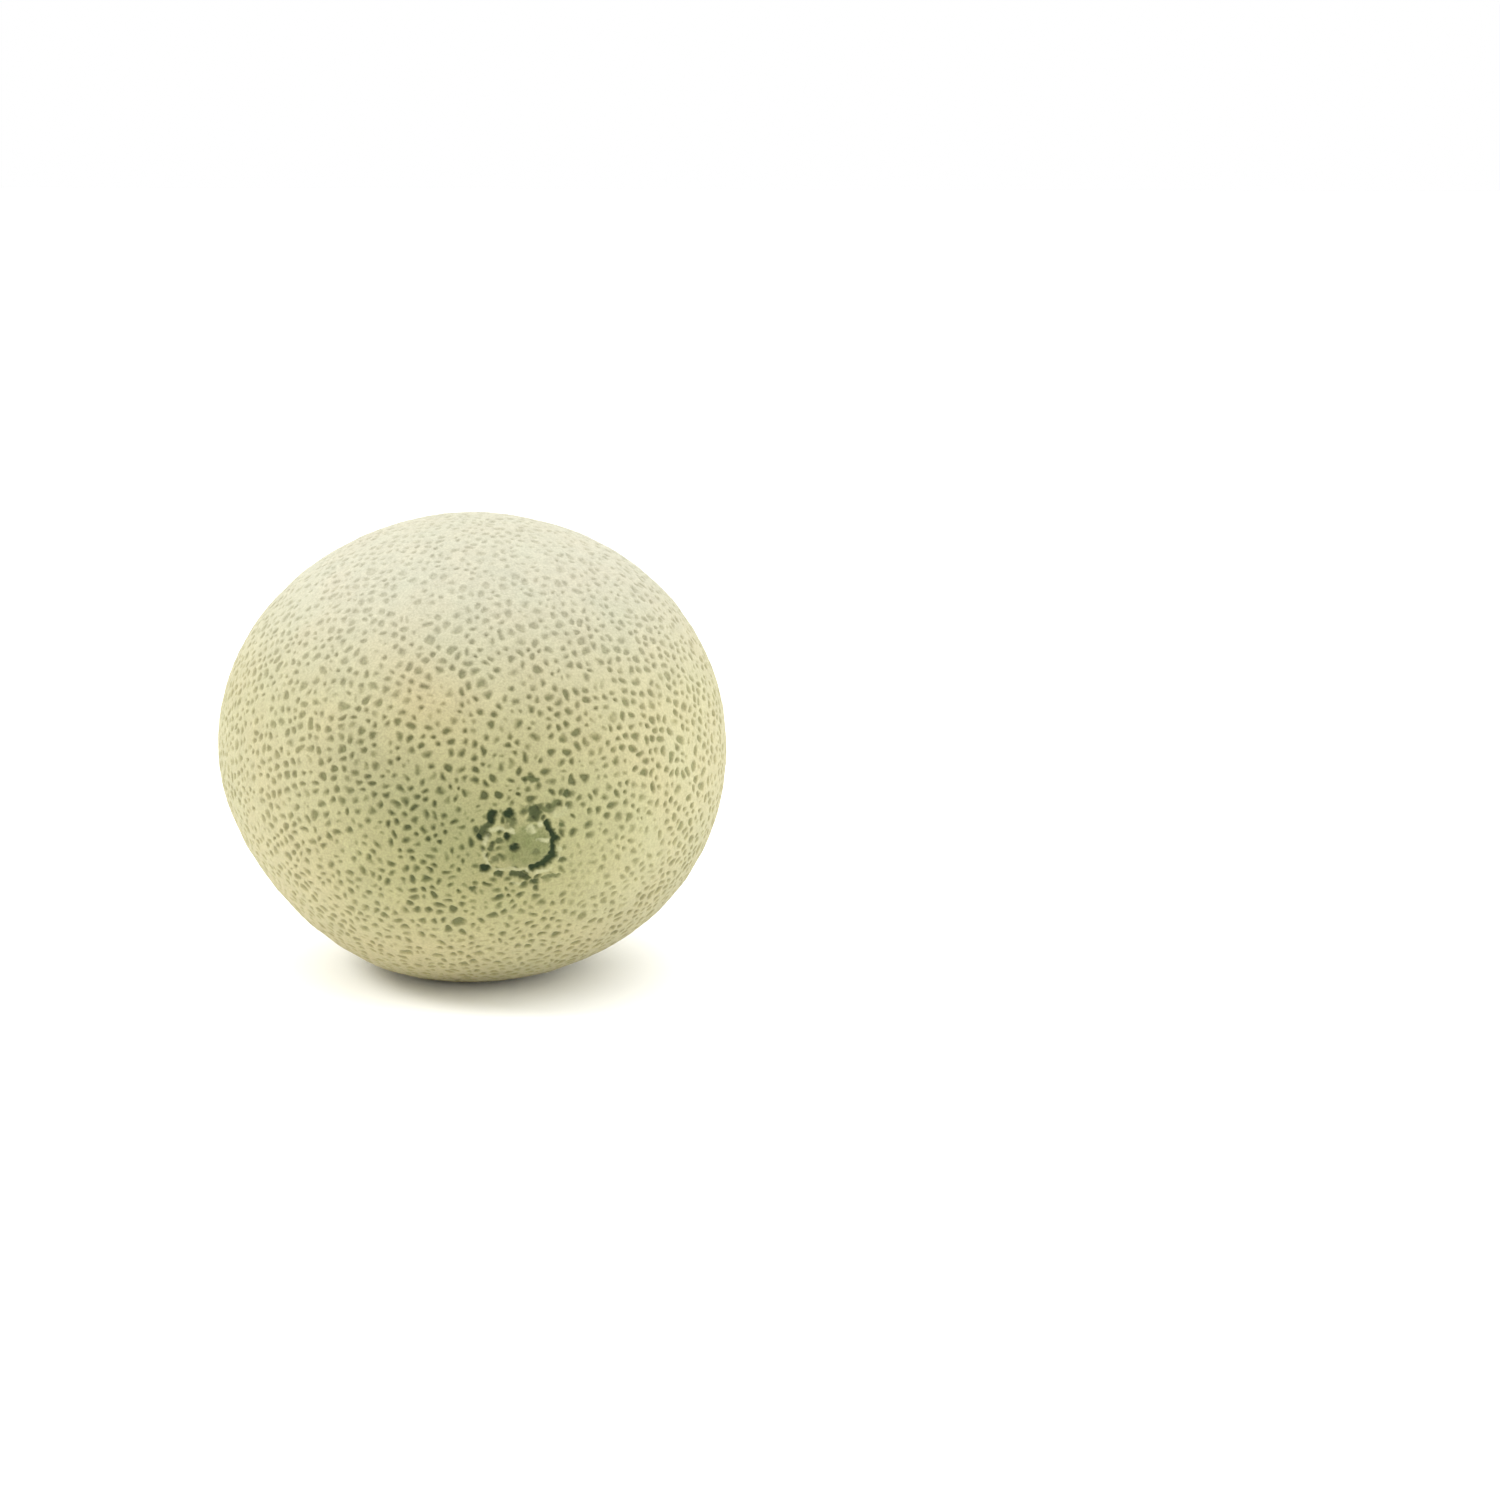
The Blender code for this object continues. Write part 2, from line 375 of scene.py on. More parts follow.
def sphere_grid(count):
    """Directions over a sphere from the six sides of a cube, its faces, and a map that packs the sides."""
    steps = np.arange(count + 1)
    i, j = np.meshgrid(steps, steps, indexing="ij")
    corners = []
    for side in range(6):
        axis = side // 2
        grid = np.empty((count + 1, count + 1, 3), dtype=np.int64)
        grid[..., axis] = count if side % 2 else -count
        grid[..., (axis + 1) % 3] = 2 * i - count
        grid[..., (axis + 2) % 3] = 2 * j - count
        corners.append(grid.reshape(-1, 3))
    lattice = np.concatenate(corners)
    span = 2 * count + 1
    keys = ((lattice[:, 0] + count) * span + lattice[:, 1] + count) * span + lattice[:, 2] + count
    _, first, merged = np.unique(keys, return_index=True, return_inverse=True)
    merged = merged.reshape(-1)
    directions = unit(np.tan(lattice[first] / count * (math.pi / 4)))
    a, b = np.meshgrid(np.arange(count), np.arange(count), indexing="ij")
    a = a.ravel()
    b = b.ravel()
    used = 1 - 2 * ISLAND_MARGIN
    faces = []
    maps = []
    for side in range(6):
        ring = [(a, b), (a + 1, b), (a + 1, b + 1), (a, b + 1)]
        if side % 2 == 0:
            ring.reverse()
        start = side * (count + 1) ** 2
        faces.append(np.stack([merged[start + p * (count + 1) + q] for p, q in ring], axis=1))
        column = side % 3
        row = side // 3
        u = [(column + ISLAND_MARGIN + used * p / count) / 3 for p, _ in ring]
        v = [(row + ISLAND_MARGIN + used * q / count) / 2 for _, q in ring]
        maps.append(np.stack([np.stack(u, axis=1), np.stack(v, axis=1)], axis=2))
    return directions, np.concatenate(faces), np.concatenate(maps)


class Places:
    """Where each point of the smooth skin is, and where it lies from the two poles. In mm."""

    def __init__(self, fruit, directions):
        self.base = fruit.skin(directions)
        self.outward = unit(self.base - (fruit.low + fruit.high) / 2)
        self.facing_up = self.outward[:, 2]
        half_length = fruit.length / 2
        across = np.hypot(directions[:, 0], directions[:, 2])
        self.from_stem = np.arctan2(across, directions[:, 1]) * half_length
        self.from_blossom = np.arctan2(across, -directions[:, 1]) * half_length
        # Round either pole, an angle of 0 is to the right as seen from the blossom end.
        self.around = np.arctan2(directions[:, 2], directions[:, 0])
        self.blossom_x = self.from_blossom * np.cos(self.around)
        self.blossom_y = self.from_blossom * np.sin(self.around)
        self.stem_x = self.from_stem * np.cos(self.around)
        self.stem_y = self.from_stem * np.sin(self.around)

    def near_direction(self, towards, reach):
        return smooth_hill(angle_from(self.outward, towards), reach)

    def near_route(self, route, reach):
        return smooth_hill(from_route(self.blossom_x, self.blossom_y, route), reach)


# ---------------------------------------------------------------- net
def spread_points(fruit, spacing, jitter, seed):
    """Points over the skin, about this far apart, each strayed at random."""
    chance = np.random.default_rng(seed)
    mean_radius = (fruit.width + fruit.length + fruit.high[2]) / 6
    count = int(4 * math.pi * mean_radius**2 / (EVEN_SHARE * spacing**2))
    turn = np.arange(count) * GOLDEN_ANGLE
    tilt = np.arccos(1 - 2 * (np.arange(count) + 0.5) / count)
    tilt += CROWDING * (math.pi - tilt) * smooth_hill(math.pi - tilt, CROWDED_REACH)
    directions = np.stack([np.sin(tilt) * np.cos(turn), np.cos(tilt), np.sin(tilt) * np.sin(turn)], axis=1)
    stray = chance.normal(size=(count, 3)) * (jitter * 0.5 * spacing / mean_radius)
    kept = chance.random(count) > MISSING_CELLS
    return fruit.skin(unit(directions + stray)[kept])


def nearest(points, centres, count):
    """The indices of the nearest centres to each point, nearest first."""
    tree = KDTree(len(centres))
    for index, centre in enumerate(centres):
        tree.insert(centre, index)
    tree.balance()
    near = np.empty((len(points), count), dtype=np.int32)
    for row, point in enumerate(points):
        near[row] = [found[1] for found in tree.find_n(point, count)]
    return near


def inside_cell(points, centres, near, group, gap):
    """How deep each point is in its cell: 0 on the border, growing inwards, with rounded corners. In mm."""
    home = centres[near[:, 0]]
    away = np.linalg.norm(points - home, axis=1)
    closeness = np.exp(-CORNER_SHARPNESS * (ROUNDNESS * gap[near[:, 0]] - away))
    for k in range(1, NEIGHBOURS):
        other = centres[near[:, k]]
        across = other - home
        middle = (home + other) / 2
        depth = np.einsum("ij,ij->i", middle - points, across) / np.linalg.norm(across, axis=1)
        main = group[near[:, 0]] != group[near[:, k]]
        closeness += np.exp(-CORNER_SHARPNESS * (depth - MAIN_EXTRA * main))
    return -np.log(closeness) / CORNER_SHARPNESS


def net_cells(fruit, base):
    """How deep each point is in its cell of the net, and how much further that cell's cords reach."""
    bend = np.zeros_like(base)
    for strength, wavelength, seeds in CELL_BEND:
        bend += strength * np.stack([ripple(base, wavelength, seed) for seed in seeds], axis=1)
    bent = base + bend
    centres = spread_points(fruit, CELL_SPACING, CELL_JITTER, seed=7)
    near = nearest(bent, centres, NEIGHBOURS)
    group = nearest(centres, spread_points(fruit, MAIN_SPACING, MAIN_JITTER, seed=8), 1)[:, 0]
    next_centre = centres[nearest(centres, centres, 2)[:, 1]]
    gap = np.linalg.norm(next_centre - centres, axis=1) / 2
    depth = inside_cell(bent, centres, near, group, gap)
    own_reach = np.random.default_rng(seed=21).normal(size=len(centres)) * OWN_REACH
    return depth, own_reach[near[:, 0]]


# ---------------------------------------------------------------- patches and scars
def tone_patches(place):
    """Patches of the skin's own tone, and of painted light and shade: each is 0 outside, and 1 where it is
    strongest.
    """
    pale = smooth_step(place.facing_up, *PALE_FACING)
    pale *= PALE_AT_STEM + (1 - PALE_AT_STEM) * smooth_step(place.from_stem, *PALE_FROM_STEM)
    green_x = (place.blossom_x - GREEN_PLACE[0]) / GREEN_STRETCH
    green_y = place.blossom_y - GREEN_PLACE[1]
    front = smooth_hill(place.from_blossom, FRONT_REACH)
    return {
        # pale: partly a paler net, partly painted light from above
        "pale": pale,
        "ground_spot_and_bounce": place.near_direction(*GROUND_PATCH),
        # side: where painted glare cools and flattens the net
        "side": (1.0 - front) * smooth_step(place.from_stem, *SIDE_FROM_STEM),
        "painted_shade": place.near_route(*PAINTED_SHADE_PATCH),
        "blush": place.near_direction(*BLUSH_PATCH),
        "calm": place.near_route(*CALM_PATCH),
        "painted_right_light": place.near_direction(*RIGHT_LIGHT_PATCH),
        # blossom: greener skin, darkened partly as painted shade
        "blossom": smooth_hill(np.hypot(green_x, green_y), GREEN_REACH),
    }


def blossom_scar(place, stray_x, stray_y):
    """Where the skin is plain inside the scar, and the scar's grooves and the pale threads between them."""
    from_middle = np.hypot(place.blossom_x - PLAIN_PLACE[0], place.blossom_y - PLAIN_PLACE[1])
    plain = 1.0 - smooth_step(from_middle, PLAIN_CORE, PLAIN_RADIUS)
    groove = marked(stray_x, stray_y, SCAR_GROOVES)
    thread = marked(stray_x, stray_y, SCAR_THREADS) * (1.0 - groove) * breaks(place.base, *THREAD_BREAKS)
    return {"plain": plain, "groove": groove, "thread": thread}


def sap_dots(place):
    """A dried patch in the middle of the stem scar, and a ring of dots round it, made uneven by sines."""
    from_middle = np.hypot(place.stem_x - SAP_MIDDLE[0], place.stem_y - SAP_MIDDLE[1])
    sap = SAP_MIDDLE_SHARE * smooth_hill(from_middle, SAP_MIDDLE_RADIUS)
    for dot in range(SAP_DOTS):
        angle = 2 * math.pi * dot / SAP_DOTS + SAP_TURN * math.sin(5.0 * dot)
        out = SAP_RING_RADIUS + SAP_OUT * math.sin(3.0 * dot)
        from_dot = np.hypot(place.stem_x - out * math.cos(angle), place.stem_y - out * math.sin(angle))
        strength = 0.75 + 0.25 * math.sin(7.0 * dot)
        sap = np.maximum(sap, strength * smooth_hill(from_dot, SAP_DOT_RADIUS))
    return sap


def stem_scar(place, ragged):
    """The stem scar's bare dish and collar, its broken cracks, the crease inside its rim, and its sap.

    Ragged is the distance from the stem pole, strayed so that no ring of the scar is a plain circle.
    """
    pattern = place.around * CRACKS + noise_layers(place.base, [CRACK_WANDER])
    pattern += CRACK_TWIST * place.from_stem
    cracks = np.clip(np.cos(pattern), 0, 1) ** 4 * smooth_step(place.from_stem, *CRACK_START)
    cracks *= 1.0 - smooth_step(ragged, DISH_RADIUS, DISH_RADIUS + COLLAR_WIDTH)
    cracks *= breaks(place.base, *CRACK_BREAKS)
    crease = smooth_hill(ragged - CREASE_RADIUS, CREASE_WIDTH) * breaks(place.base, *CREASE_BREAKS)
    return {
        "dish": 1.0 - smooth_step(ragged, *DISH_EDGE),
        "collar": smooth_hill(ragged - DISH_RADIUS - COLLAR_WIDTH / 2, COLLAR_WIDTH),
        "cracks": cracks,
        "crease": crease,
        "sap": sap_dots(place),
    }


# ---------------------------------------------------------------- the whole skin
def skin_relief(base, sunk, cord_height, blossom, stem):
    """Height of the netted skin over the smooth one: cords are rounded ridges, and the scars are cut in."""
    plain = blossom["plain"]
    dish = stem["dish"]
    ridge = np.clip(1.0 - sunk**2, 0, 1)
    relief = cord_height * ridge * (1.0 - PLAIN_LOSS * plain) * (1.0 - dish)
    relief += noise_layers(base, SKIN_NOISE)
    relief += THREAD_HEIGHT * blossom["thread"] * (1.0 - ridge * (1.0 - plain))
    relief -= GROOVE_CUT * blossom["groove"]
    relief -= CRACK_CUT * stem["cracks"] + CREASE_CUT * stem["crease"] + SAP_CUT * stem["sap"]
    relief += COLLAR_HEIGHT * stem["collar"]
    relief += dish * noise_layers(base, DISH_NOISE)
    return relief - PIT_SINK


def build_skin(fruit):
    """Every point of the netted skin, its faces and UV map, and the masks that its material reads."""
    directions, faces, uv_map = sphere_grid(GRID)
    place = Places(fruit, directions)
    base = place.base
    tone = tone_patches(place)
    fine = smooth_step(place.facing_up, *FINE_FACING)
    depth, own_reach = net_cells(fruit, base)

    # How far a cord's flank reaches. Where it reaches further than a cell is deep, the pit is closed.
    reach = CORD_REACH + own_reach + noise_layers(base, REACH_NOISE)
    reach += FINE_REACH * fine + GROUND_REACH * tone["ground_spot_and_bounce"] + CALM_REACH * tone["calm"]

    # The marks of both scars wander a little from their plain outlines.
    stray_x = place.blossom_x + noise_layers(base, SCAR_STRAY_X)
    stray_y = place.blossom_y + noise_layers(base, SCAR_STRAY_Y)
    ragged = place.from_stem + noise_layers(base, STEM_STRAY)
    blossom = blossom_scar(place, stray_x, stray_y)
    stem = stem_scar(place, ragged)
    reach += PLAIN_REACH * np.maximum(blossom["plain"], BESIDE_SHARE * place.near_route(*BESIDE_PATCH))
    reach += DISH_REACH * stem["dish"] + COLLAR_REACH * stem["collar"]
    sunk = np.clip(depth / reach, 0, DEEPEST)

    cord_height = CORD_HEIGHT * (1.0 - GROUND_LOSS * tone["ground_spot_and_bounce"] - FINE_LOSS * fine)
    relief = skin_relief(base, sunk, cord_height, blossom, stem)
    points = base + place.outward * relief[:, None]
    points[:, 2] = np.maximum(points[:, 2], fruit.low[2])

    fade = (1.0 - TOP_LIGHT_FADE * fine) * (1.0 - SIDE_GLARE_FADE * tone["side"]) * (1.0 - CALM_FADE * tone["calm"])
    masks = {"depth": sunk / DEEPEST * fade, **tone, **blossom}
    for name in ("dish", "collar", "sap"):
        masks[name] = stem[name]
    # the crease is darkened partly as painted shade at the dish's edge; the cracks are dark cork
    masks["crease"] = np.maximum(stem["crease"], CRACK_DARKNESS * stem["cracks"])
    return points * MM, faces, uv_map, masks


def make_melon():
    low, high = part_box("melon")
    points, faces, uv_map, masks = build_skin(Fruit(low, high))
    mesh = bpy.data.meshes.new("netted_melon")
    mesh.from_pydata(points, [], faces)
    layer = mesh.uv_layers.new(name="OFBake")
    layer.data.foreach_set("uv", uv_map.astype(np.float32).ravel())
    for name, values in masks.items():
        attribute = mesh.attributes.new(name, "FLOAT", "POINT")
        attribute.data.foreach_set("value", values.astype(np.float32))
    mesh.shade_smooth()
    melon = bpy.data.objects.new("netted_melon", mesh)
    bpy.context.scene.collection.objects.link(melon)
    return melon


# ---------------------------------------------------------------- material
# Crest to pit: pale cork to green skin, with a painted highlight on the crests and painted shade down the
# flanks.
CREST = (0.4, 0.37, 0.205, 1)
SLOPE = (0.324, 0.301, 0.154, 1)
FLANK = (0.268, 0.25, 0.12, 1)
FOOT = (0.214, 0.206, 0.09, 1)
PIT = (0.17, 0.17, 0.07, 1)
# The top tones: partly a paler net, partly painted light from above.
TOP_CREST = (0.447, 0.43, 0.312, 1)
TOP_FLANK = (0.386, 0.37, 0.26, 1)
TOP_PIT = (0.26, 0.256, 0.16, 1)
# Blossom tones: greener skin, darkened partly as painted shade.
BLOSSOM_CREST = (0.31, 0.303, 0.138, 1)
BLOSSOM_FLANK = (0.175, 0.182, 0.068, 1)
BLOSSOM_FOOT = (0.115, 0.126, 0.041, 1)
BLOSSOM_PIT = (0.07, 0.082, 0.023, 1)

# From the crest of a cord into its pit, as shares of the cord's reach. Pale cork against green skin is the
# net's own colour; the paler crests are partly a painted highlight and the darker flanks partly painted
# shade.
SIDE_TONES = [(0.0, CREST), (0.35, SLOPE), (0.68, FLANK), (0.92, FOOT), (1.1, PIT)]
TOP_TONES = [(0.0, TOP_CREST), (0.68, TOP_FLANK), (1.1, TOP_PIT)]
BLOSSOM_TONES = [(0.0, BLOSSOM_CREST), (0.6, BLOSSOM_FLANK), (0.92, BLOSSOM_FOOT), (1.1, BLOSSOM_PIT)]

# Groove tones: dark green skin, darker along the middle as painted shade in the groove.
GROOVE_EDGE = (0.115, 0.127, 0.046, 1)
GROOVE_GREEN_AND_SHADE = (0.014, 0.028, 0.004, 1)
BUTTON_GREEN = (0.135, 0.155, 0.05, 1)
BUTTON_PALE = (0.205, 0.215, 0.085, 1)
BUTTON_SHARE = 0.85
THREAD_PALE = (0.42, 0.415, 0.235, 1)
COLLAR_CORK = (0.36, 0.32, 0.185, 1)
COLLAR_SHARE = 0.7
DISH_CORK = (0.335, 0.288, 0.165, 1)
# dark cork for the dish's mottle, and painted shade in the crease
DARK_CORK_AND_CREASE_SHADE = (0.15, 0.12, 0.062, 1)
DARK_CORK_SHARE = 0.6
SAP_BROWN = (0.075, 0.052, 0.027, 1)
WHITE = (1, 1, 1, 1)

# Tints that multiply the skin's colour: two that drift over all of it, and one for each patch. Some patch
# tints are painted light and shade: bounce from the floor, glare on the sides, shade, and light on the
# right side.
WARM = (1.02, 0.995, 0.97, 1)
COOL = (0.985, 1.0, 0.985, 1)
PATCH_TINTS = [
    # ground spot: partly paler skin, partly painted light bounced up from the floor
    ("ground_spot_and_bounce", (1.19, 1.155, 1.11, 1)),
    # painted glare on the sides: a little cooler
    ("side", (0.99, 1.0, 1.06, 1)),
    # painted shade
    ("painted_shade", (0.90, 0.905, 0.90, 1)),
    ("blush", (1.02, 0.975, 0.94, 1)),
    # painted light on the right side
    ("painted_right_light", (1.12, 1.12, 1.14, 1)),
    ("calm", (1.05, 1.06, 1.08, 1)),
]

# The cork's own grain: its size, and how dark and how pale it makes the colour.
GRAIN = [(3.5 * MM, 0.94, 1.05), (0.6 * MM, 0.86, 1.12)]
CREST_ROUGHNESS = 0.72
PIT_ROUGHNESS = 0.50
NOISE_ROUGHNESS = 0.55
NOISE_SPAN = (0.3, 0.7)  # nearly all of a noise lies between these


class Nodes:
    """Short calls for building one material's node tree."""

    def __init__(self, name):
        self.material = bpy.data.materials.new(name)
        self.material.use_nodes = True
        self.tree = self.material.node_tree
        self.shader = self.tree.nodes["Principled BSDF"]

    def add(self, kind, **settings):
        node = self.tree.nodes.new(kind)
        for key, value in settings.items():
            setattr(node, key, value)
        return node

    def put(self, value, socket):
        """A colour or number goes into the socket as it is, and another node's output is linked to it."""
        if isinstance(value, bpy.types.NodeSocket):
            self.tree.links.new(value, socket)
        else:
            socket.default_value = value

    def attribute(self, name):
        return self.add("ShaderNodeAttribute", attribute_name=name).outputs["Fac"]

    def mix(self, factor, first, second, blend="MIX"):
        node = self.add("ShaderNodeMix", data_type="RGBA", blend_type=blend)
        node.clamp_factor = True
        self.put(factor, node.inputs[0])
        self.put(first, node.inputs[6])
        self.put(second, node.inputs[7])
        return node.outputs[2]

    def times(self, first, second):
        return self.mix(1.0, first, second, blend="MULTIPLY")

    def ramp(self, value, stops):
        """Colours along a value from 0 to 1: a list of (place, colour)."""
        node = self.add("ShaderNodeValToRGB")
        self.put(value, node.inputs["Fac"])
        points = node.color_ramp.elements
        while len(points) < len(stops):
            points.new(0.5)
        for point, (place, colour) in zip(points, stops):
            point.position = place
            point.color = colour
        return node.outputs["Color"]

    def math(self, operation, first, second):
        node = self.add("ShaderNodeMath", operation=operation, use_clamp=False)
        self.put(first, node.inputs[0])
        self.put(second, node.inputs[1])
        return node.outputs[0]

    def scaled(self, value, low, high):
        """A value between 0 and 1, spread from low to high."""
        node = self.add("ShaderNodeMapRange")
        self.put(value, node.inputs["Value"])
        node.inputs["To Min"].default_value = low
        node.inputs["To Max"].default_value = high
        return node.outputs["Result"]

    def noise(self, size, detail=3.0):
        """Noise with bumps of about this size in metres, spread to fill 0 to 1."""
        where = self.add("ShaderNodeTexCoord").outputs["Object"]
        node = self.add("ShaderNodeTexNoise")
        self.put(where, node.inputs["Vector"])
        node.inputs["Scale"].default_value = 1 / size
        node.inputs["Detail"].default_value = detail
        node.inputs["Roughness"].default_value = NOISE_ROUGHNESS
        spread = self.add("ShaderNodeMapRange")
        self.put(node.outputs["Fac"], spread.inputs["Value"])
        spread.inputs["From Min"].default_value = NOISE_SPAN[0]
        spread.inputs["From Max"].default_value = NOISE_SPAN[1]
        return spread.outputs["Result"]


def net_colour(rind, depth):
    """The net's tones on the sides, on the pale top, which is partly painted light from above, and round
    the blossom end, whose darker green is partly painted shade.
    """
    side, top, blossom = (
        rind.ramp(depth, [(place / DEEPEST, colour) for place, colour in tones])
        for tones in (SIDE_TONES, TOP_TONES, BLOSSOM_TONES)
    )
    colour = rind.mix(rind.attribute("pale"), side, top)
    return rind.mix(rind.attribute("blossom"), colour, blossom)


def with_blossom_scar(rind, colour):
    """The button's plain skin, the pale threads, and grooves that are darkest green along their middle,
    partly the scar's green skin and partly painted shade in the groove.
    """
    button = rind.mix(rind.noise(2.4 * MM), BUTTON_GREEN, BUTTON_PALE)
    colour = rind.mix(rind.math("MULTIPLY", rind.attribute("plain"), BUTTON_SHARE), colour, button)
    colour = rind.mix(rind.attribute("thread"), colour, THREAD_PALE)
    sunk = rind.math("MULTIPLY", rind.attribute("groove"), 2.0)
    colour = rind.mix(sunk, colour, GROOVE_EDGE)
    return rind.mix(rind.math("SUBTRACT", sunk, 1.0), colour, GROOVE_GREEN_AND_SHADE)


def with_stem_scar(rind, colour):
    """The collar, the bare cork of the dish with its sap, the dark cracks, and the crease, darkened partly
    as painted shade.
    """
    colour = rind.mix(rind.scaled(rind.attribute("collar"), 0.0, COLLAR_SHARE), colour, COLLAR_CORK)
    cork = rind.mix(rind.scaled(rind.noise(2.0 * MM), 0.0, DARK_CORK_SHARE), DISH_CORK, DARK_CORK_AND_CREASE_SHADE)
    cork = rind.mix(rind.attribute("sap"), cork, SAP_BROWN)
    colour = rind.mix(rind.attribute("dish"), colour, cork)
    return rind.mix(rind.attribute("crease"), colour, DARK_CORK_AND_CREASE_SHADE)


def rind_material():
    rind = Nodes("melon_rind")
    depth = rind.attribute("depth")
    colour = with_blossom_scar(rind, net_colour(rind, depth))
    colour = rind.times(colour, rind.mix(rind.noise(16 * MM), WARM, COOL))
    for patch, tint in PATCH_TINTS:
        colour = rind.times(colour, rind.mix(rind.attribute(patch), WHITE, tint))
    colour = with_stem_scar(rind, colour)
    for size, darkest, palest in GRAIN:
        colour = rind.times(colour, rind.scaled(rind.noise(size, detail=4.0), darkest, palest))
    rind.put(colour, rind.shader.inputs["Base Color"])

    rind.put(rind.scaled(depth, CREST_ROUGHNESS, PIT_ROUGHNESS), rind.shader.inputs["Roughness"])
    rind.shader.inputs["Specular IOR Level"].default_value = 0.25
    rind.shader.inputs["Sheen Weight"].default_value = 0.06
    rind.shader.inputs["Sheen Roughness"].default_value = 0.5

    bump = rind.add("ShaderNodeBump")
    bump.inputs["Strength"].default_value = 0.5
    bump.inputs["Distance"].default_value = 0.18 * MM
    rind.put(rind.noise(0.45 * MM), bump.inputs["Height"])
    rind.put(bump.outputs["Normal"], rind.shader.inputs["Normal"])
    return rind.material


# ---------------------------------------------------------------- studio
FLOOR_SIDE = 8.0
FLOOR_COLOUR = (0.99, 0.99, 0.985, 1)
TENT_STRENGTH = 1.85
MOUTH_STRENGTH = 0.55
GLOW_STRENGTH = 1.4
GLOW_DIRECTION = Vector((0.72, -0.45, 0.53))
SOFTBOX_PLACE = Vector((-0.85, 0.0, 0.7))  # from the middle of the fruit
SOFTBOX_WIDTH = 0.4
SOFTBOX_WATTS = 6
CAMERA_AZIMUTH = math.radians(-9.7)
CAMERA_ELEVATION = math.radians(12)
CAMERA_DISTANCE = 1.03
CAMERA_LENS = 85.0
SENSOR_WIDTH = 36.0
AIM_RIGHT = math.radians(4.47)
AIM_DOWN = math.radians(0.12)
TOWARDS_CAMERA = Vector(
    (
        math.sin(CAMERA_AZIMUTH) * math.cos(CAMERA_ELEVATION),
        -math.cos(CAMERA_AZIMUTH) * math.cos(CAMERA_ELEVATION),
        math.sin(CAMERA_ELEVATION),
    )
)


def make_floor():
    mesh = bpy.data.meshes.new("floor")
    half = FLOOR_SIDE / 2
    corners = [(-half, -half, 0), (half, -half, 0), (half, half, 0), (-half, half, 0)]
    mesh.from_pydata(corners, [], [(0, 1, 2, 3)])
    floor = bpy.data.objects.new("floor", mesh)
    bpy.context.scene.collection.objects.link(floor)
    paint = Nodes("floor_paint")
    paint.shader.inputs["Base Color"].default_value = FLOOR_COLOUR
    paint.shader.inputs["Roughness"].default_value = 0.9
    paint.shader.inputs["Specular IOR Level"].default_value = 0.1
    mesh.materials.append(paint.material)


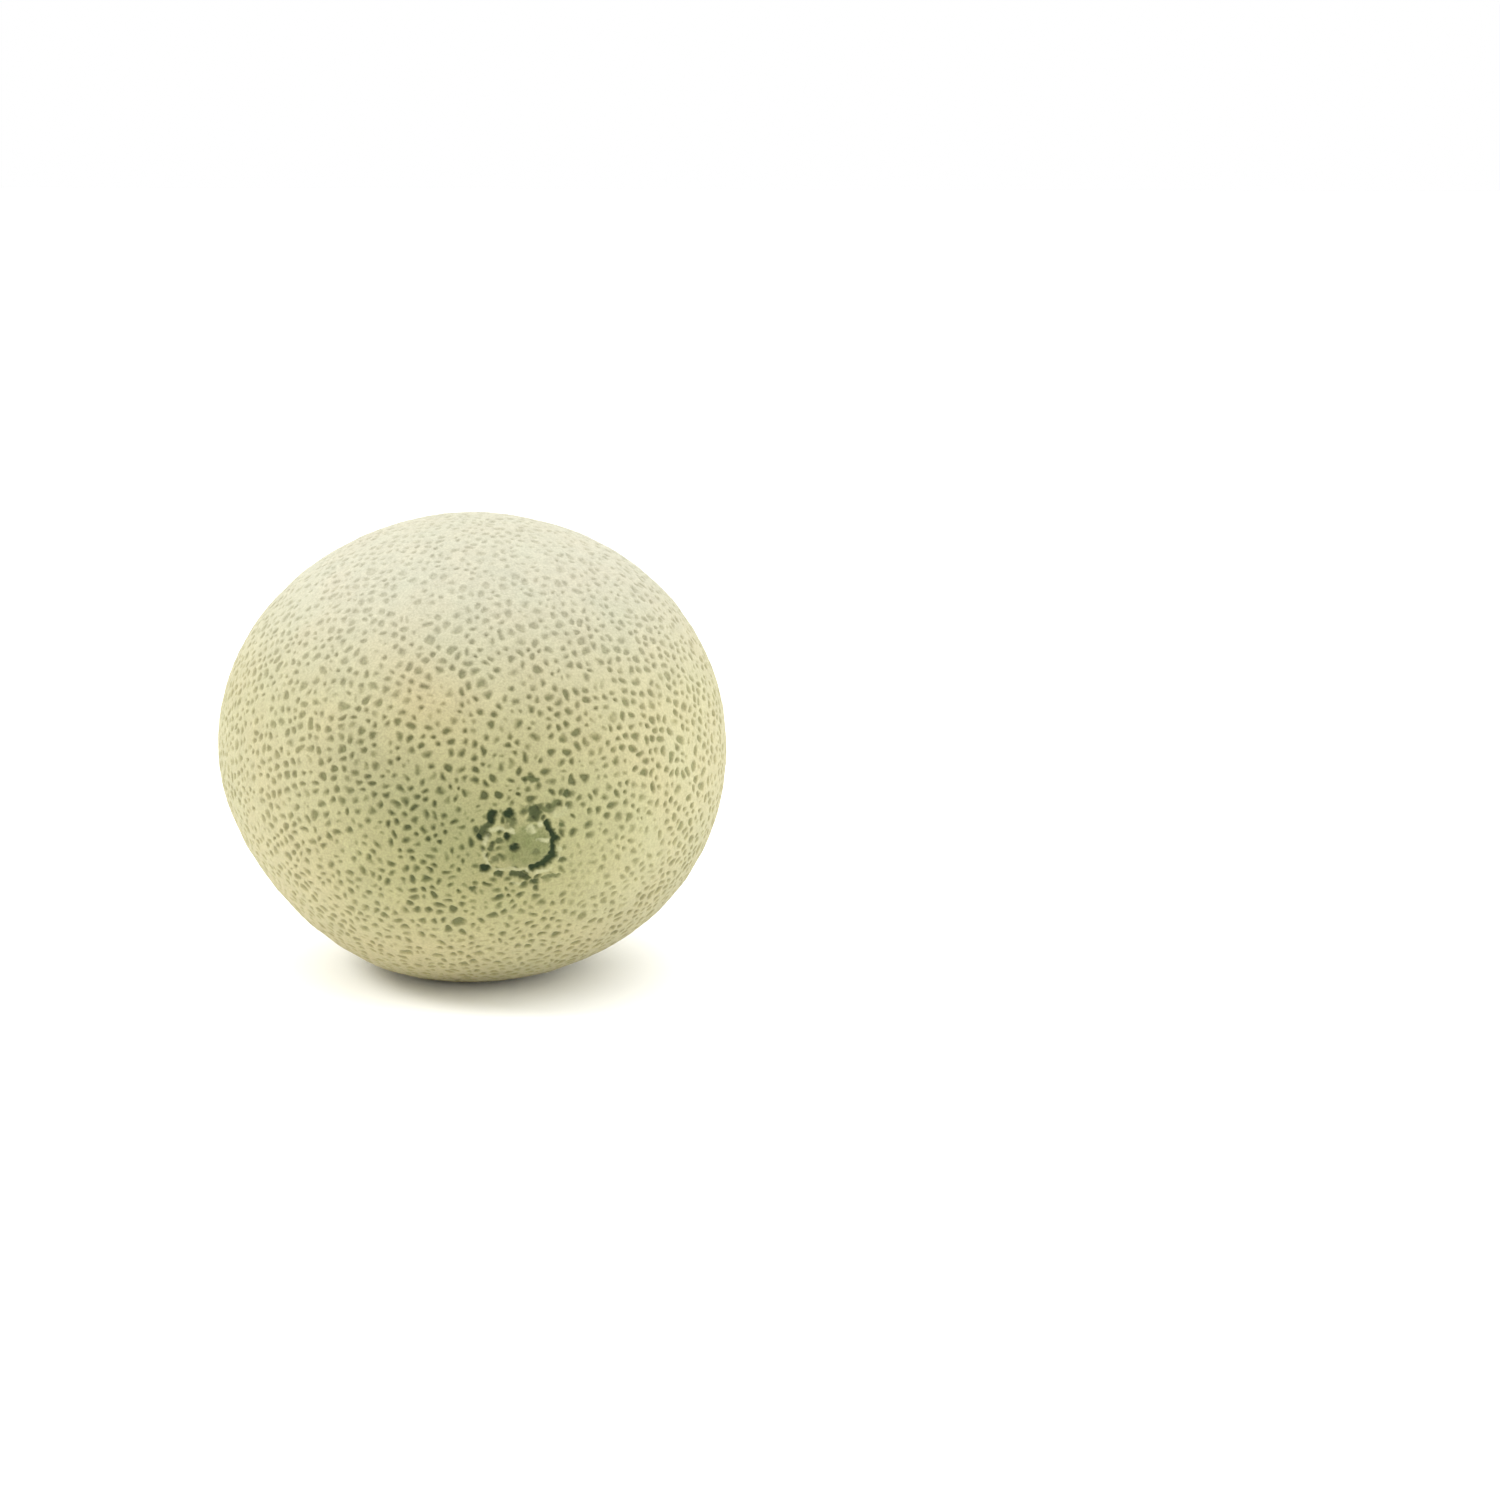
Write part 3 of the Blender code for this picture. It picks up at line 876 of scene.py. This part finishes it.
def make_world():
    """A white light tent round the fruit, which is plain white in the picture.

    It is dimmer where the camera looks in, and brighter on the right side of the fruit.
    """
    world = bpy.data.worlds.new("light_tent")
    bpy.context.scene.world = world
    world.use_nodes = True
    tree = world.node_tree
    tree.nodes.clear()
    where = tree.nodes.new("ShaderNodeTexCoord")

    def brightness(direction, start, end, away, facing):
        """From away to facing, by how nearly a place on the tent lies in this direction."""
        nearness = tree.nodes.new("ShaderNodeVectorMath")
        nearness.operation = "DOT_PRODUCT"
        tree.links.new(where.outputs["Generated"], nearness.inputs[0])
        nearness.inputs[1].default_value = direction
        spread = tree.nodes.new("ShaderNodeMapRange")
        spread.interpolation_type = "SMOOTHSTEP"
        tree.links.new(nearness.outputs["Value"], spread.inputs["Value"])
        for name, value in (("From Min", start), ("From Max", end), ("To Min", away), ("To Max", facing)):
            spread.inputs[name].default_value = value
        return spread.outputs["Result"]

    strength = tree.nodes.new("ShaderNodeMath")
    strength.operation = "ADD"
    mouth = brightness(TOWARDS_CAMERA, start=0.25, end=0.95, away=TENT_STRENGTH, facing=MOUTH_STRENGTH)
    glow = brightness(GLOW_DIRECTION, start=0.25, end=1.0, away=0.0, facing=GLOW_STRENGTH)
    tree.links.new(mouth, strength.inputs[0])
    tree.links.new(glow, strength.inputs[1])
    tent = tree.nodes.new("ShaderNodeBackground")
    tree.links.new(strength.outputs[0], tent.inputs["Strength"])
    plain = tree.nodes.new("ShaderNodeBackground")
    plain.inputs["Strength"].default_value = 1.0
    plain.inputs["Color"].default_value = WHITE
    path = tree.nodes.new("ShaderNodeLightPath")
    choose = tree.nodes.new("ShaderNodeMixShader")
    tree.links.new(path.outputs["Is Camera Ray"], choose.inputs[0])
    tree.links.new(tent.outputs[0], choose.inputs[1])
    tree.links.new(plain.outputs[0], choose.inputs[2])
    out = tree.nodes.new("ShaderNodeOutputWorld")
    tree.links.new(choose.outputs[0], out.inputs["Surface"])


def make_softbox(target):
    """One round soft light, high on the left of the fruit."""
    lamp = bpy.data.lights.new("left_softbox", "AREA")
    lamp.shape = "DISK"
    lamp.size = SOFTBOX_WIDTH
    lamp.energy = SOFTBOX_WATTS
    light = bpy.data.objects.new("left_softbox", lamp)
    light.location = target + SOFTBOX_PLACE
    light.rotation_euler = (-SOFTBOX_PLACE).to_track_quat("-Z", "Y").to_euler()
    bpy.context.scene.collection.objects.link(light)


def make_camera(middle):
    lens = bpy.data.cameras.new("camera")
    lens.lens = CAMERA_LENS
    lens.sensor_width = SENSOR_WIDTH
    camera = bpy.data.objects.new("camera", lens)
    camera.location = middle + TOWARDS_CAMERA * CAMERA_DISTANCE
    aim = (-TOWARDS_CAMERA).to_track_quat("-Z", "Y").to_matrix()
    aim = aim @ Matrix.Rotation(-AIM_RIGHT, 3, "Y") @ Matrix.Rotation(-AIM_DOWN, 3, "X")
    camera.rotation_euler = aim.to_euler()
    bpy.context.scene.collection.objects.link(camera)
    bpy.context.scene.camera = camera


def main():
    melon = make_melon()
    melon.data.materials.append(rind_material())
    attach(melon, "root")
    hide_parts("melon")
    make_floor()
    make_world()
    middle = (CAD_LOW + CAD_HIGH) / 2
    make_softbox(middle)
    make_camera(middle)
    scene = bpy.context.scene
    scene.view_settings.view_transform = "Standard"
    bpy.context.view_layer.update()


main()
